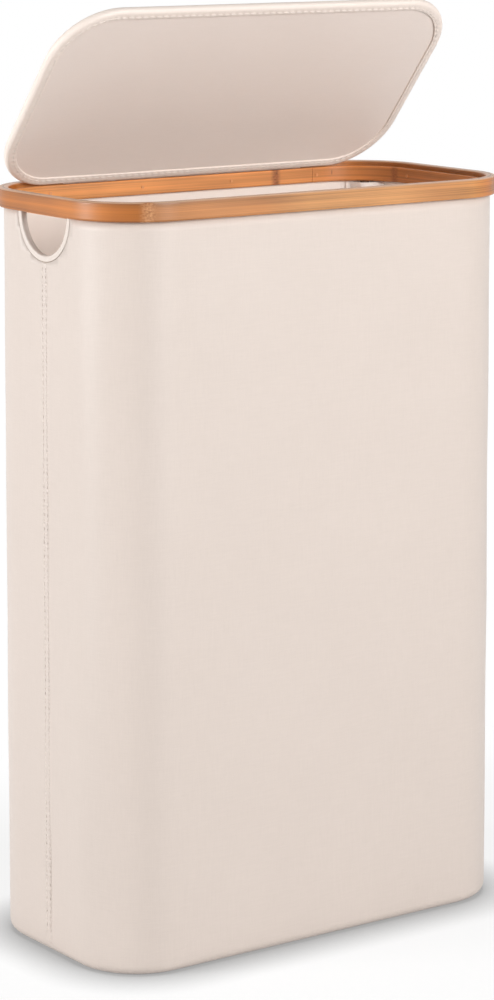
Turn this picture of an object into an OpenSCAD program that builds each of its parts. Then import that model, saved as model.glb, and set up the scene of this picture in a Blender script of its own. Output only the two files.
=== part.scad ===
// Slim laundry hamper: a stiffened fabric body hangs from a laminated bamboo rim and is
// held open by four corner rods and a loose base board. A fabric-covered lid drops into
// the rim, rests on the ledge of the rim's inner strip and swings on a cloth hinge tape.
// Millimetres, +Z up. The origin is on the floor under the middle of the body, and the
// hinge is at the back, towards +Y.

/* [Body] */
// Width of the fabric body, side to side
body_w = 430; // [380:1:520]
// Depth of the fabric body, front to back
body_d = 216; // [215:1:300]
// Height from the floor to the underside of the rim
body_h = 641.5; // [450:0.5:800]
// Corner radius of the body, seen from above
body_r = 61; // [50:0.5:61]
// Thickness of the outer cover cloth
cover_t = 0.8; // [0.5:0.1:1.2]
// Thickness of the stiffener board between cover and lining
stiffener_t = 3.2; // [2.5:0.1:4]
// Thickness of the lining cloth and of the hinge tape cut from it
lining_t = 0.8; // [0.5:0.1:1.2]
// Radius of the soft roll along the bottom edge
roll_r = 9; // [7:0.5:12]
// Width of cover cloth turned in flat under the body
turn_under = 8; // [4:1:14]

/* [Hand holes] */
// Radius of the half-round hand holes in the two short sides
hole_r = 41; // [36:0.5:46]
// Width of the bound edge that shows inside each hand hole
binding_w = 5.5; // [2.5:0.1:6]
// Thickness of the binding tape
binding_t = 0.7; // [0.4:0.1:0.8]
// Groove between the binding and the cut edge of the cover
binding_gap = 0.4; // [0.2:0.1:0.8]
// Width of binding sewn down on the lining, past the hole
binding_lap = 1; // [0.5:0.1:1]

/* [Side seams] */
// Width of the felled seam down each short side
seam_w = 9; // [6:0.5:14]
// How far the folded seam stands proud of the cover
seam_t = 0.6; // [0.3:0.1:1.2]
// How far the seams lie in front of the middle
seam_forward = 0; // [0:1:20]

/* [Rim] */
// Thickness of each of the two bent bamboo plies
ply_t = 4.5; // [4:0.1:6]
// Height of the two plies
rim_h = 16.5; // [12:0.5:24]
// Rounding of the rim's outer and inner edges
rim_edge = 1.8; // [0.5:0.1:2]
// Thickness of the inner strip that clamps the lining
strip_t = 4.5; // [3.5:0.1:6]
// Height of the inner strip
strip_h = 14; // [10:0.5:18]
// Rounding of the inner strip's free edges
strip_edge = 1; // [0.5:0.1:1.5]
// Depth of the lid's ledge below the top of the rim
ledge_drop = 4.5; // [3:0.1:6]
// Open gap where the bent ends of the strip meet
strip_joint = 0.4; // [0.2:0.1:1]
// Distance from the right end of the straight back run to the strip's joint
strip_joint_in = 13; // [13:1:20]

/* [Brads] */
// Shank diameter of the brads that pin the strip to the rim
brad_d = 1.4; // [1:0.1:2]
// Length of the shank
brad_l = 11; // [8:0.5:12]
// Diameter of the flat head
brad_head_d = 3; // [2.4:0.1:4]
// Thickness of the flat head
brad_head_t = 0.5; // [0.3:0.1:0.8]
// Radial clearance round the shank
brad_clear = 0.05; // [0.02:0.01:0.1]
// Distance from the end of a straight run to its last brad
brad_end = 8; // [5:1:11]
// Brads on each long run
brads_long = 4; // [3:1:6]
// Brads on each short run
brads_short = 2; // [2:1:3]

/* [Corner rods] */
// Diameter of the rods
rod_d = 6; // [5:0.1:8]
// Wall and end thickness of the rods' caps
cap_t = 1; // [0.8:0.1:1.5]
// Length of the caps
cap_l = 14; // [10:1:25]
// Thickness of the sleeve cloth
sleeve_t = 0.6; // [0.4:0.1:1]
// Radial slack of a cap in its sleeve
sleeve_slack = 0.2; // [0.1:0.1:0.8]
// Width of the sleeve between its two seams, along the corner
sleeve_w = 37; // [32:1:44]
// Space left open under each sleeve
sleeve_foot = 12; // [6:1:30]
// Gap between the top of a sleeve and the inner strip
sleeve_top_gap = 1; // [0.5:0.5:5]

/* [Base board] */
// Thickness of the loose base board
base_t = 3; // [2:0.1:5]
// Thickness of the board's cloth cover
base_cover_t = 0.6; // [0.4:0.1:1]
// Gap between the board and the lining, all round
base_gap = 2.2; // [1:0.1:4]
// Gap between the board's corners and the rod sleeves
base_sleeve_gap = 2; // [1:0.1:5]
// Clearance under the loose board
base_lift = 0.3; // [0.2:0.1:1]

/* [Lid] */
// Gap between the lid's edge and the rim, all round
lid_gap = 1.2; // [1.2:0.1:3]
// Clearance between the closed lid and its ledge
lid_rest = 0.3; // [0.3:0.1:1]
// Thickness of the finished lid, which has a full round edge
lid_t = 8; // [7:0.1:10]
// Thickness of the stiff board inside the lid
lid_board_t = 3; // [2:0.1:4]
// Thickness of the lid's cover cloth
lid_cover_t = 0.8; // [0.5:0.1:1]
// Thickness of the panel that finishes the lid's underside
lid_panel_t = 1; // [0.6:0.1:1.2]
// Width of cover cloth turned under round the lid's edge
lid_border = 10; // [8:0.5:20]
// How far the lid stands open, from closed
lid_open = 50; // [0:1:165]
// Distance from the lid's rear edge forward to its hinge line
hinge_in = 3.6; // [3:0.1:5]
// Depth of the hinge line below the lid's top face
hinge_drop = 1.9; // [1:0.1:2.5]

/* [Hinge tape] */
// Distance from each end of the hinge tape to the start of the corner's curve
tape_end = 24; // [20:1:90]
// Height of tape clamped between rim and strip
tape_clamp = 8; // [5:0.5:12]
// How far the tape's top edge stays below the top of the rim
tape_drop = 0.5; // [0.5:0.1:2]
// How far the tape reaches over the top of the lid
tape_lap = 24; // [15:1:40]

/* [Hidden] */
$fn = 96;
hull_fn = 32;
// Small overshoot of a cutter past the face it cuts
over = 1;

// Depths are measured inwards from the outer face of the body, so the outside of the
// overhanging rim has a negative depth.
stack_t = cover_t + stiffener_t;
wall_t = stack_t + lining_t;
rim_out = stack_t - 2 * ply_t;
strip_in = wall_t + strip_t;
rim_top = body_h + rim_h;
ledge_z = rim_top - ledge_drop;
strip_z = ledge_z - strip_h;
floor_z = wall_t;
lining_foot = cover_t + stiffener_t;
hem_top = ledge_z - tape_drop;
board_h = body_h - cover_t - roll_r;

// Middle of a corner's arcs, and the half lengths of the straight runs
corner_x = body_w / 2 - body_r;
corner_y = body_d / 2 - body_r;

// Hand holes
grip_r = hole_r - binding_w;

// Corner rods, which stand on the diagonal of each corner arc
lining_r = body_r - wall_t;
cap_d = rod_d + 2 * cap_t;
sleeve_r = cap_d / 2 + sleeve_slack;
rod_out = lining_r - sleeve_t - sleeve_r;
sleeve_depth = 2 * (sleeve_r + sleeve_t);
sleeve_angle = sleeve_w / 2 / lining_r * 180 / PI;

// Base board, whose corner arcs clear the sleeves
base_z = floor_z + base_lift;
base_in = wall_t + base_gap;
diagonal = cos(45);
base_r = lining_r + ((sleeve_depth + base_sleeve_gap) * diagonal - base_gap) / (1 - diagonal);

// Rim
strip_joint_x = corner_x - strip_joint_in;
tape_w = 2 * (corner_x - tape_end);

// Lid
lid_in = stack_t + lid_gap;
lid_z = ledge_z + lid_rest;
lid_core_in = lid_in + lid_t / 2;
hinge_y = body_d / 2 - lid_in - hinge_in;
hinge_z = lid_z + lid_t - hinge_drop;

BAMBOO = [0.86, 0.62, 0.40];
BAMBOO_INNER = [0.84, 0.55, 0.32];
COVER = [0.91, 0.86, 0.82];
LINING = [0.92, 0.86, 0.83];
BINDING = [0.95, 0.91, 0.87];
LID_PANEL = [0.81, 0.75, 0.71];
BOARD = [0.62, 0.52, 0.40];
FOAM = [0.95, 0.95, 0.93];
STEEL = [0.70, 0.71, 0.73];
CAP = [0.25, 0.25, 0.26];

// ---- Shapes that repeat ----

// Rounded rectangle of half sizes x and y
module rounded(x, y, r) {
    for (s = [-1, 1], t = [-1, 1]) translate([s * (x - r), t * (y - r)]) circle(r);
    square([2 * x, 2 * (y - r)], center = true);
    square([2 * (x - r), 2 * y], center = true);
}

// The body's outline, a given depth inwards
module outline(depth) rounded(body_w / 2 - depth, body_d / 2 - depth, body_r - depth);

// A flat sheet that fills the outline
module sheet(depth, z, t) translate([0, 0, z]) linear_extrude(t) outline(depth);

// An upright wall that follows the outline
module wall(depth, t, z, h) {
    translate([0, 0, z]) linear_extrude(h) difference() {
        outline(depth);
        outline(depth + t);
    }
}

// Sweeps its flat children round the outline. They lie at x <= 0, with x = 0 on the
// outline, -x inwards and y upwards.
module around(depth) {
    r = body_r - depth;
    for (i = [0:3]) {
        run_x = i % 2 == 0 ? corner_x : corner_y;
        run_y = i % 2 == 0 ? corner_y : corner_x;
        rotate(90 * i) {
            translate([run_x, run_y, 0]) rotate_extrude(angle = 90) translate([r, 0]) children();
            translate([run_x + r, run_y, 0]) rotate([90, 0, 0]) linear_extrude(2 * run_y) children();
        }
    }
}

// Section of a bent bamboo strip, t thick and h high, with its outer edges rounded
module strip_section(t, h, r) {
    translate([-t, 0]) square([t - r, h]);
    translate([-r - over / 100, r]) square([r + over / 100, h - 2 * r]);
    for (y = [r, h - r]) translate([-r, y]) circle(r);
}

// A padded sheet with a full round edge
module padded_sheet(depth, z, t) {
    sheet(depth + t / 2, z, t);
    around(depth) translate([-t / 2, z + t / 2]) circle(d = t);
}

// Half cylinder that hangs from the rim, across one short side
module half_hole(side, r) {
    translate([side * (body_w / 2 - wall_t - over), 0, body_h])
        rotate([90, 0, side * 90]) linear_extrude(wall_t + 2 * over) half_disc(r);
}

module half_disc(r) {
    intersection() {
        circle(r);
        translate([-r - over, -r - over]) square([2 * (r + over), r + over]);
    }
}

// A half ring hung from height top on one short side, between two depths
module half_ring(side, r_in, r_out, depth_a, depth_b, top) {
    translate([side * (body_w / 2 - depth_b), 0, 0]) rotate([90, 0, side * 90])
        linear_extrude(depth_b - depth_a) intersection() {
            translate([0, body_h]) difference() {
                circle(r_out);
                circle(r_in);
            }
            translate([-r_out, top - 2 * r_out]) square(2 * r_out);
        }
}

// The part of its children between two places front to back
module between(front, back) {
    intersection() {
        children();
        translate([-body_w, front, -over]) cube([2 * body_w, back - front, body_h + 2 * over]);
    }
}

// Puts its children at each brad, with their +Z pointing out through the rim
module at_brads() {
    z = strip_z + strip_h / 2;
    for (s = [-1, 1]) {
        for (x = steps(corner_x - brad_end, brads_long))
            translate([x, s * (body_d / 2 - strip_in), z]) rotate([-90 * s, 0, 0]) children();
        for (y = steps(corner_y - brad_end, brads_short))
            translate([s * (body_w / 2 - strip_in), y, z]) rotate([0, 90 * s, 0]) children();
    }
}

// Evenly spaced places from -reach to reach
function steps(reach, count) = [for (i = [0:count - 1]) reach * (2 * i / (count - 1) - 1)];

module brad_bores() {
    at_brads() translate([0, 0, -over])
        cylinder(h = brad_l + over + brad_clear, r = brad_d / 2 + brad_clear);
}

// Puts its children on a corner's diagonal, with +X pointing out into that corner
module at_corner(side, face) {
    translate([side * corner_x, face * corner_y, 0])
        rotate(side > 0 ? face * 45 : face * 135) children();
}

// Swings its children from the closed pose to the pose in which the lid stands
module lid_pose() {
    translate([0, hinge_y, hinge_z]) rotate([-lid_open, 0, 0])
        translate([0, -hinge_y, -hinge_z]) children();
}

// ---- Body ----

// Outer cloth: upright walls, a roll at the floor and a hem turned in under the rim. Its
// two lengths, front and back, meet under the side seams.
module cover_walls() {
    difference() {
        union() {
            wall(0, cover_t, roll_r, body_h - roll_r);
            wall(cover_t, stiffener_t, body_h - cover_t, cover_t);
            around(0) intersection() {
                translate([-roll_r, roll_r]) difference() {
                    circle(roll_r);
                    circle(roll_r - cover_t);
                }
                translate([-roll_r, 0]) square(roll_r);
            }
            wall(roll_r, turn_under, 0, cover_t);
        }
        for (side = [-1, 1]) half_hole(side, hole_r);
    }
}

module body_cover_front() color(COVER) between(-body_d, -seam_forward) cover_walls();

module body_cover_back() color(COVER) between(-seam_forward, body_d) cover_walls();

module body_bottom_panel() color(COVER) sheet(roll_r + turn_under, 0, cover_t);

// Board between cover and lining: two lengths bent round the corners, and a flat one with
// the hand hole in each short side
module wall_boards() wall(cover_t, stiffener_t, roll_r, board_h);

module wall_stiffener_front() color(BOARD) between(-body_d, -corner_y) wall_boards();

module wall_stiffener_back() color(BOARD) between(corner_y, body_d) wall_boards();

module wall_stiffener_side(side) {
    color(BOARD) difference() {
        translate([side * (body_w / 2 - cover_t - stiffener_t / 2), 0, roll_r + board_h / 2])
            cube([stiffener_t, 2 * corner_y, board_h], center = true);
        half_hole(side, grip_r + binding_t);
    }
}

module bottom_stiffener() color(BOARD) sheet(roll_r, cover_t, stiffener_t);

// Inner cloth, whose top hem runs up between the rim and its inner strip
module body_lining() {
    color(LINING) difference() {
        wall(stack_t, lining_t, lining_foot, hem_top - lining_foot);
        for (side = [-1, 1]) half_hole(side, grip_r + binding_t);
        translate([-tape_w / 2, 0, ledge_z - tape_clamp]) cube([tape_w, body_d, rim_h]);
        brad_bores();
    }
}

module lining_bottom() color(LINING) sheet(wall_t, lining_foot, lining_t);

// Tape bound round the edge of a hand hole
module hole_binding(side) {
    face = cover_t - binding_t;
    color(BINDING) {
        half_ring(side, grip_r, hole_r - binding_gap, face, cover_t, body_h);
        half_ring(side, grip_r, grip_r + binding_t, cover_t, wall_t, body_h);
        half_ring(side, grip_r, hole_r + binding_lap, wall_t, wall_t + binding_t, strip_z);
    }
}

// Folded and twice-stitched seam that runs from the hand hole down to the roll
module side_seam(side) {
    top = body_h - hole_r - seam_w / 2;
    color(COVER) translate([side * (body_w / 2 + seam_t / 2), -seam_forward, (top + roll_r) / 2])
        cube([seam_t, seam_w, top - roll_r], center = true);
}

// ---- Rim ----

module rim_outer_ply() {
    color(BAMBOO) difference() {
        around(rim_out) translate([0, body_h]) strip_section(ply_t, rim_h, rim_edge);
        brad_bores();
    }
}

module rim_inner_ply() {
    color(BAMBOO) difference() {
        around(rim_out + ply_t)
            translate([-ply_t, body_h]) mirror([1, 0]) strip_section(ply_t, rim_h, rim_edge);
        brad_bores();
    }
}

// Bent strip that clamps the lining and carries the closed lid
module rim_ledge_strip() {
    color(BAMBOO_INNER) difference() {
        around(wall_t)
            translate([-strip_t, strip_z]) mirror([1, 0]) strip_section(strip_t, strip_h, strip_edge);
        brad_bores();
        translate([strip_joint_x - strip_joint / 2, body_d / 2 - strip_in - over, strip_z - over])
            cube([strip_joint, strip_t + 2 * over, strip_h + 2 * over]);
    }
}

module rim_brads() {
    color(STEEL) at_brads() {
        cylinder(h = brad_l, d = brad_d);
        translate([0, 0, -brad_head_t]) cylinder(h = brad_head_t, d = brad_head_d);
    }
}

// ---- Corner rods ----

module corner_rod(side, face) {
    color(STEEL) at_corner(side, face)
        translate([rod_out, 0, floor_z + cap_t]) cylinder(h = strip_z - floor_z - 2 * cap_t, d = rod_d);
}

module rod_end_caps() {
    color(CAP) for (side = [-1, 1], face = [-1, 1], end = [0, 1])
        at_corner(side, face) translate([rod_out, 0, end == 0 ? floor_z : strip_z])
            mirror([0, 0, end]) difference() {
                cylinder(h = cap_l, d = cap_d);
                translate([0, 0, cap_t]) cylinder(h = cap_l, d = rod_d);
            }
}

// Sleeve sewn to the lining along two upright seams
module rod_sleeve(side, face) {
    foot = floor_z + sleeve_foot;
    color(LINING) at_corner(side, face) translate([0, 0, foot])
        linear_extrude(strip_z - sleeve_top_gap - foot, convexity = 4) difference() {
            sleeve_section(sleeve_r + sleeve_t, sleeve_t);
            sleeve_section(sleeve_r, sleeve_t / 4);
        }
}

module sleeve_section(r, seam_r) {
    hull() {
        translate([rod_out, 0]) circle(r, $fn = hull_fn);
        for (s = [-1, 1]) rotate(s * sleeve_angle)
            translate([lining_r - sleeve_t, 0]) circle(seam_r, $fn = hull_fn / 2);
    }
}

// ---- Base board ----

module base_outline(depth) {
    rounded(body_w / 2 - base_in - depth, body_d / 2 - base_in - depth, base_r - depth);
}

module base_board() {
    color(BOARD) translate([0, 0, base_z + base_cover_t]) linear_extrude(base_t) base_outline(base_cover_t);
}

module base_board_cover() {
    color(LINING) difference() {
        translate([0, 0, base_z]) linear_extrude(base_t + 2 * base_cover_t) base_outline(0);
        translate([0, 0, base_z + base_cover_t]) linear_extrude(base_t) base_outline(base_cover_t);
    }
}

// ---- Lid and its hinge ----

// Tape clamped behind the strip, which stands up past the ledge at the back
module hinge_tape() {
    z = ledge_z - tape_clamp;
    color(LINING) difference() {
        translate([-tape_w / 2, body_d / 2 - wall_t, z])
            cube([tape_w, lining_t, rim_top - tape_drop - z]);
        brad_bores();
    }
}

// The tape's other end, sewn on the top of the lid
module hinge_tape_lid() {
    color(LINING) lid_pose()
        translate([-tape_w / 2, body_d / 2 - lid_core_in - tape_lap, lid_z + lid_t])
            cube([tape_w, tape_lap, lining_t]);
}

module lid_core_cut() sheet(lid_core_in, lid_z + lid_cover_t, lid_panel_t + lid_board_t);

module lid_board() {
    color(BOARD) lid_pose() sheet(lid_core_in, lid_z + lid_cover_t + lid_panel_t, lid_board_t);
}

// Wadding over the top and the edges of the board
module lid_foam() {
    color(FOAM) lid_pose() difference() {
        padded_sheet(lid_in + lid_cover_t, lid_z + lid_cover_t, lid_t - 2 * lid_cover_t);
        lid_core_cut();
    }
}

// Cloth that wraps the top and edges and is turned under as a border
module lid_cover() {
    color(COVER) lid_pose() difference() {
        padded_sheet(lid_in, lid_z, lid_t);
        padded_sheet(lid_in + lid_cover_t, lid_z + lid_cover_t, lid_t - 2 * lid_cover_t);
        sheet(lid_in + lid_border, lid_z - over, lid_cover_t + 2 * over);
    }
}

module lid_under_panel() {
    color(LID_PANEL) lid_pose() sheet(lid_core_in, lid_z + lid_cover_t, lid_panel_t);
}

body_cover_front();
body_cover_back();
body_bottom_panel();
wall_stiffener_front();
wall_stiffener_back();
wall_stiffener_side(-1);  // wall_stiffener_left
wall_stiffener_side(1);  // wall_stiffener_right
bottom_stiffener();
body_lining();
lining_bottom();
hole_binding(-1);  // hole_binding_left
hole_binding(1);  // hole_binding_right
side_seam(-1);  // side_seam_left
side_seam(1);  // side_seam_right
rim_outer_ply();
rim_inner_ply();
rim_ledge_strip();
rim_brads();
corner_rod(-1, -1);  // corner_rod_front_left
corner_rod(1, -1);  // corner_rod_front_right
corner_rod(-1, 1);  // corner_rod_back_left
corner_rod(1, 1);  // corner_rod_back_right
rod_end_caps();
rod_sleeve(-1, -1);  // rod_sleeve_front_left
rod_sleeve(1, -1);  // rod_sleeve_front_right
rod_sleeve(-1, 1);  // rod_sleeve_back_left
rod_sleeve(1, 1);  // rod_sleeve_back_right
base_board();
base_board_cover();
hinge_tape();
hinge_tape_lid();
lid_board();
lid_foam();
lid_cover();
lid_under_panel();
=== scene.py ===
import math

import bmesh
import bpy
from mathutils import Matrix, Vector, noise


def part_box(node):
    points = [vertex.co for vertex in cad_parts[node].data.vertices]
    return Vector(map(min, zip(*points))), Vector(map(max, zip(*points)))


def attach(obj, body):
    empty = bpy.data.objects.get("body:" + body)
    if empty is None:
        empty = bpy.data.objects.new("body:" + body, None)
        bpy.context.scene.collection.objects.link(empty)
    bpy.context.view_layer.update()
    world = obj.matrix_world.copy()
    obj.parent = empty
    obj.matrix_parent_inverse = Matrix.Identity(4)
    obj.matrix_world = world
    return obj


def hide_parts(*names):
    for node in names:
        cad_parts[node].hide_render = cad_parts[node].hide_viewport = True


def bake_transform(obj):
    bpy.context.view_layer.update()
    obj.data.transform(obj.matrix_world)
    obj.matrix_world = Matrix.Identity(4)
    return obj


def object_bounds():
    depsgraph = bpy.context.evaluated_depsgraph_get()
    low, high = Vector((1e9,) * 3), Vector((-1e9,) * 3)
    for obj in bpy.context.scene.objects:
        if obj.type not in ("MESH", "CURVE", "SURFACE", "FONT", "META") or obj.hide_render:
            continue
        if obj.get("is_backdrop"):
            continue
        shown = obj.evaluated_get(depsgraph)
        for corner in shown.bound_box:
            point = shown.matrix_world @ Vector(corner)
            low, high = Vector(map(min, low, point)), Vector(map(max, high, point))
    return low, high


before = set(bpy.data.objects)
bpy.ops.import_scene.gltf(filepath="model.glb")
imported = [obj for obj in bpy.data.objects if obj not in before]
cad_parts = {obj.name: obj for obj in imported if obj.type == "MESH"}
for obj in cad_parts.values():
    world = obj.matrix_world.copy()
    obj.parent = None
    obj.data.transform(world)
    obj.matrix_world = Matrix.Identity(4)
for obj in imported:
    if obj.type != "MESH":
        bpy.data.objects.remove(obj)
cad_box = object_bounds()

MM = 0.001


# ---- Camera ----
# A long lens in front of the left corner, a little above the rim and tipped down. Its
# view is shifted to take in the open lid and the foot.
CAMERA_TIP, CAMERA_TURN = 6.85, -35.67

camera_data = bpy.data.cameras.new("camera")
camera_data.lens = 116.2
camera_data.shift_y = -0.25
camera = bpy.data.objects.new("camera", camera_data)
camera.location = (-1.649, -2.291, 0.935)
camera.rotation_euler = (math.radians(90 - CAMERA_TIP), 0, math.radians(CAMERA_TURN))
bpy.context.scene.collection.objects.link(camera)
bpy.context.scene.camera = camera


# ---- Studio ----
# A white sweep of floor and bright air, with two soft lamps on the left and a large one in
# front. Round the foot the floor glows, and painted shadow darkens its glow where the hamper
# hems it in; a fifth of the floor there is lit by the lamps.
WHITE = (1, 1, 1, 1)
SKY_LEVEL = 0.22
FLOOR_SIZE = 60
LIT_FLOOR = (215, 215, 215)
# Painted shadow on the floor's glow: how far the occlusion reaches, its least value and how steeply
# it falls.
SHADE_REACH, SHADE_LEAST, SHADE_FALL = 0.05, 0.42, 1.25
LAMPLIT_SHARE = 0.2
NEAR_FLOOR, FAR_FLOOR = 0.2, 0.5

# Half the sides of the rectangle that the hamper's rounded corners are bent about.
CORE_X, CORE_Y = 154 * MM, 47 * MM
CORE = (CORE_X, CORE_Y)


class Value:
    """An output in a node tree. Arithmetic on it adds Math nodes."""

    def __init__(self, nodes, output):
        self.nodes, self.output = nodes, output

    def __getitem__(self, name):
        return Value(self.nodes, self.output.node.outputs[name])

    def math(self, operation, *others):
        return self.nodes.add("Math", {"operation": operation}, self, *others)

    def __add__(self, other):
        return self.math("ADD", other)

    def __sub__(self, other):
        return self.math("SUBTRACT", other)

    def __rsub__(self, other):
        return self.nodes.add("Math", {"operation": "SUBTRACT"}, other, self)

    def __mul__(self, other):
        return self.math("MULTIPLY", other)

    def __truediv__(self, other):
        return self.math("DIVIDE", other)

    __radd__, __rmul__ = __add__, __mul__


class Nodes:
    """The nodes of a material or of the world. add() is the one way to put a node in."""

    def __init__(self, owner):
        owner.use_nodes = True
        self.tree = owner.node_tree
        self.tree.nodes.clear()

    def add(self, kind, settings=None, *values, **named):
        node = self.tree.nodes.new("ShaderNode" + kind)
        for name, setting in (settings or {}).items():
            if name == "stops":
                ramp = node.color_ramp.elements
                while len(ramp) < len(setting):
                    ramp.new(1)
                for stop, (place, colour) in zip(ramp, setting):
                    stop.position, stop.color = place, (*colour, 1)
            else:
                setattr(node, name, setting)
        sockets = [s for s in node.inputs if s.enabled]
        chosen = [*zip(sockets, values)]
        for name, value in named.items():
            chosen.append((next(s for s in sockets if s.name == name.replace("_", " ")), value))
        for socket, value in chosen:
            if isinstance(value, Value):
                self.tree.links.new(value.output, socket)
            else:
                socket.default_value = value
        if not node.outputs:
            return None
        return Value(self, next((o for o in node.outputs if o.enabled), None))


def tint(red, green, blue):
    """A colour as a screen shows it, from 0 to 255, turned into the light it stands for."""
    return tuple(
        c / 12.92 if c <= 0.04045 else ((c + 0.055) / 1.055) ** 2.4
        for c in (red / 255, green / 255, blue / 255)
    )


def position(nodes):
    """The place on the object, in its own frame, as three values."""
    split = nodes.add("SeparateXYZ", None, nodes.add("TexCoord")["Object"])
    return split["X"], split["Y"], split["Z"]


def from_core(x, y):
    """How far out a place is from the core rectangle."""
    out_x = (x.math("ABSOLUTE") - CORE_X).math("MAXIMUM", 0)
    out_y = (y.math("ABSOLUTE") - CORE_Y).math("MAXIMUM", 0)
    return (out_x * out_x + out_y * out_y).math("SQRT")


def shown_white(nodes, lit, white):
    """The shader lit, or white where the camera, a reflection or glass sees it."""
    path = nodes.add("LightPath")
    seen = path["Is Camera Ray"].math("MAXIMUM", path["Is Glossy Ray"])
    seen = seen.math("MAXIMUM", path["Is Transmission Ray"])
    return nodes.add("MixShader", None, seen, lit, white)


bpy.context.scene.view_settings.view_transform = "Standard"
world = bpy.data.worlds.new("studio")
bpy.context.scene.world = world
air = Nodes(world)
sky = air.add("Background", None, WHITE, SKY_LEVEL)
white_air = air.add("Background", None, WHITE, 1.0)
air.add("OutputWorld", None, shown_white(air, sky, white_air))

bpy.ops.mesh.primitive_plane_add(size=FLOOR_SIZE)
floor = bpy.context.object
floor.name = "floor"
floor_paint = bpy.data.materials.new("floor_paint")
paint = Nodes(floor_paint)
lit_floor = paint.add("BsdfDiffuse", None, (*tint(*LIT_FLOOR), 1))
# Painted shadow: the near floor glows, and its glow is darkened where the hamper hems it in.
unshaded = paint.add("AmbientOcclusion", {"samples": 16}, Distance=SHADE_REACH)["AO"]
shade = unshaded.math("MAXIMUM", SHADE_LEAST).math("POWER", SHADE_FALL)
near_floor = paint.add("Emission", None, shade, 1.0)
lamplit = paint.add("BsdfDiffuse", None, WHITE)
near_floor = paint.add("MixShader", None, LAMPLIT_SHARE, near_floor, lamplit)
x, y, _ = position(paint)
away = paint.add(
    "MapRange", {"interpolation_type": "SMOOTHSTEP"}, from_core(x, y), NEAR_FLOOR, FAR_FLOOR
)
far_floor = paint.add("Emission", None, WHITE, 1.0)
seen_floor = paint.add("MixShader", None, away, near_floor, far_floor)
paint.add("OutputMaterial", None, shown_white(paint, lit_floor, seen_floor))
floor.data.materials.append(floor_paint)
floor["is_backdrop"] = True


def lamp(name, place, size, watts, aim=(0, 0, 0.4)):
    """A round soft lamp that points at aim."""
    light = bpy.data.lights.new(name, "AREA")
    light.shape, light.size, light.energy = "DISK", size, watts
    bulb = bpy.data.objects.new(name, light)
    bulb.location = place
    bulb.rotation_euler = (Vector(aim) - Vector(place)).to_track_quat("-Z", "Y").to_euler()
    bpy.context.scene.collection.objects.link(bulb)


lamp("lamp_back", (-2.8, 0.9, 1.0), 1.1, 64)
lamp("lamp_side", (-2.6, -1.2, 1.3), 1.6, 8)
lamp("lamp_front", (0.6, -2.95, 1.42), 1.9, 84, aim=(0, 0, 0.5))


# ---- Outer cloth ----
# Linen-look cloth round the walls: a front and a back length, joined under the side seams
# and stretched over boards. It rolls under along the foot and is turned in under the rim,
# and a half-round hand hole is cut in each short side.
_, body_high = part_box("body_cover_front")
BODY_X, BODY_TOP = body_high.x, body_high.z
COVER_T = 0.8 * MM
ROLL_R = 9 * MM
TURN_UNDER = 8 * MM
HOLE_R = 41 * MM

# The rows of faces up a wall, the steps round a corner, and how wide a column is.
WALL_ROWS, CORNER_STEPS, COLUMN = 72, 20, 8 * MM

# As good as nothing: two heights that are closer than this are the same.
HAIR = 0.01 * MM

# The cloth lies freely only this far from where the rim and the foot hold it.
HELD_TOP, HELD_FOOT = 0.06, 0.02

# How fine the cloth's slubs and its uneven dye are, along x, y and z, and the steps from its
# colour to that of its darkest and lightest threads.
FLAT_SLUBS, TALL_SLUBS, DYE_PATCHES = (70, 70, 1100), (1100, 1100, 60), (9, 9, 9)
DARKER, LIGHTER = -60, 42


def select(piece, kind, test):
    """In edit mode, selects the vertices, edges or faces whose middle and normal pass."""
    bpy.ops.mesh.select_mode(type=kind)
    bpy.ops.mesh.select_all(action="DESELECT")
    mesh = bmesh.from_edit_mesh(piece.data)
    if kind == "VERT":
        for v in mesh.verts:
            v.select = test(v.co, v.normal)
    elif kind == "EDGE":
        for e in mesh.edges:
            a, b = e.verts
            e.select = test((a.co + b.co) / 2, b.co - a.co)
    else:
        for f in mesh.faces:
            f.select = test(f.calc_center_median(), f.normal)
    mesh.select_flush_mode()
    bmesh.update_edit_mesh(piece.data)


def alone(piece):
    """Makes piece the one selected and active object."""
    bpy.ops.object.select_all(action="DESELECT")
    piece.select_set(True)
    bpy.context.view_layer.objects.active = piece


def rounded_plate(name, depth, z, core=CORE, radius=None):
    """In edit mode, a flat plate at height z that faces down and lies depth inside an outline.

    The outline's corners are bent about core with this radius, or else as the body's are.
    """
    reach = (BODY_X - core[0] if radius is None else radius) - depth
    half_x, half_y = core[0] + reach, core[1] + reach
    bpy.ops.object.select_all(action="DESELECT")
    bpy.ops.mesh.primitive_plane_add(size=2, location=(0, 0, z))
    plate = bpy.context.object
    plate.name = plate.data.name = name
    plate.scale = (half_x, half_y, 1)
    bpy.ops.object.transform_apply(location=True, rotation=False, scale=True)
    bpy.ops.object.mode_set(mode="EDIT")
    bpy.ops.mesh.flip_normals()
    bpy.ops.mesh.select_mode(type="VERT")
    bpy.ops.mesh.select_all(action="SELECT")
    bpy.ops.mesh.bevel(
        offset=reach, segments=CORNER_STEPS, affect="VERTICES", clamp_overlap=False
    )
    for along, half in enumerate(core):
        for side in (-1, 1):
            select(
                plate, "EDGE",
                lambda m, d: abs(d[along]) > 1.9 * half and m[1 - along] * side > 0,
            )
            bpy.ops.mesh.subdivide(number_cuts=max(1, round(2 * half / COLUMN)) - 1)
    select(plate, "FACE", lambda m, n: True)
    return plate


def lower(distance, rows=1):
    """Extrudes the selected faces straight down in equal rows."""
    for _ in range(rows):
        bpy.ops.mesh.extrude_region_move(
            TRANSFORM_OT_translate={"value": (0, 0, -distance / rows)}
        )


def roll_in(radius, steps):
    """Turns the selected face inwards through a quarter circle, along its normal."""
    for i in range(steps):
        a, b = (math.pi / 2 * k / steps for k in (i, i + 1))
        bpy.ops.mesh.inset(
            thickness=radius * (math.cos(a) - math.cos(b)),
            depth=radius * (math.sin(b) - math.sin(a)),
        )


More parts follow.
